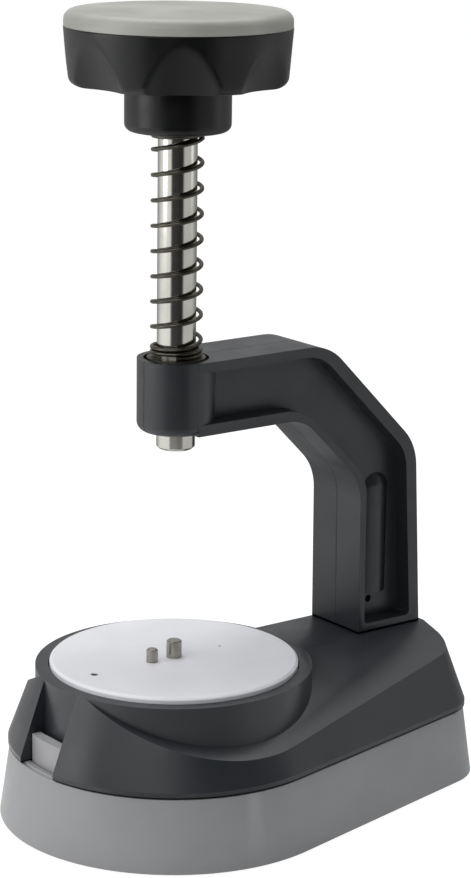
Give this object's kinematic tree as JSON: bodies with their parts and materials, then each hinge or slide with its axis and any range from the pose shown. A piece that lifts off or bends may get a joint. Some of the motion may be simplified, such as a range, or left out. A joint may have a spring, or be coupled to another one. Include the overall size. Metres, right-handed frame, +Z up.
{
  "type": "watch rotor press",
  "caption": "Hand press for watch rotors: a sprung steel ram in a recessed arm, pushed by a fluted knob over a white disc with steel posts, on a tapered latched base.",
  "frame": {"origin": "centre of the footprint on the bench, at the bottom of the feet", "axes": "+Z up along the ram; +Y towards the column at the back; +X to the right of someone who faces the ram with the column behind it"},
  "size_m": [0.0914, 0.1322, 0.2101],
  "materials": {
    "tray_plastic": "fine moulded texture, mid grey",
    "foot_rubber": "matte",
    "black_plastic": "fine moulded texture, satin black",
    "tab_plastic": "satin, light grey",
    "disc_plastic": "satin white",
    "post_steel": "dark satin",
    "fastener_steel": "zinc plated",
    "insert_brass": "turned",
    "bush_steel": "turned",
    "rod_steel": "ground",
    "spring_steel": "dark oiled wire",
    "cap_plastic": "satin, light warm grey"
  },
  "bodies": {
    "stand": {"base_tray": "tray_plastic", "rubber_feet": "foot_rubber", "base_cover": "black_plastic", "latch_pin": "fastener_steel", "press_arm": "black_plastic", "column_insert": "insert_brass", "column_washer": "fastener_steel", "column_screw": "fastener_steel", "upper_bush": "bush_steel", "lower_bush": "bush_steel", "return_spring": "spring_steel"},
    "clip": {"retaining_ring": "spring_steel"},
    "ram": {"ram_rod": "rod_steel", "knob": "black_plastic", "knob_washer": "fastener_steel", "knob_screw": "fastener_steel", "knob_cap": "cap_plastic"},
    "disc": {"anvil_disc": "disc_plastic", "centre_post": "post_steel", "side_post": "post_steel"},
    "latch": {"latch_button": "tab_plastic"}
  },
  "joints": [
    {"name": "ram_slide", "type": "slide", "parent": "stand", "child": "clip", "axis": [0, 0, -1], "range_m": [0, 0.0435], "stiffness_N_per_m": 400, "springref_m": -0.01, "deforming": ["return_spring"]},
    {"name": "ram_turn", "type": "hinge", "parent": "clip", "child": "ram", "pos_m": [0, -0.02047, 0.1056], "axis": [0, 0, 1], "continuous": true},
    {"name": "anvil_turn", "type": "hinge", "parent": "stand", "child": "disc", "pos_m": [0, -0.02047, 0.0342], "axis": [0, 0, 1], "continuous": true},
    {"name": "latch_flex", "type": "hinge", "parent": "stand", "child": "latch", "pos_m": [0, -0.05867, 0.0246], "axis": [1, 0, 0], "range_deg": [0, 6], "stiffness_Nm_per_rad": 0.2, "springref_deg": -2.86}
  ]
}
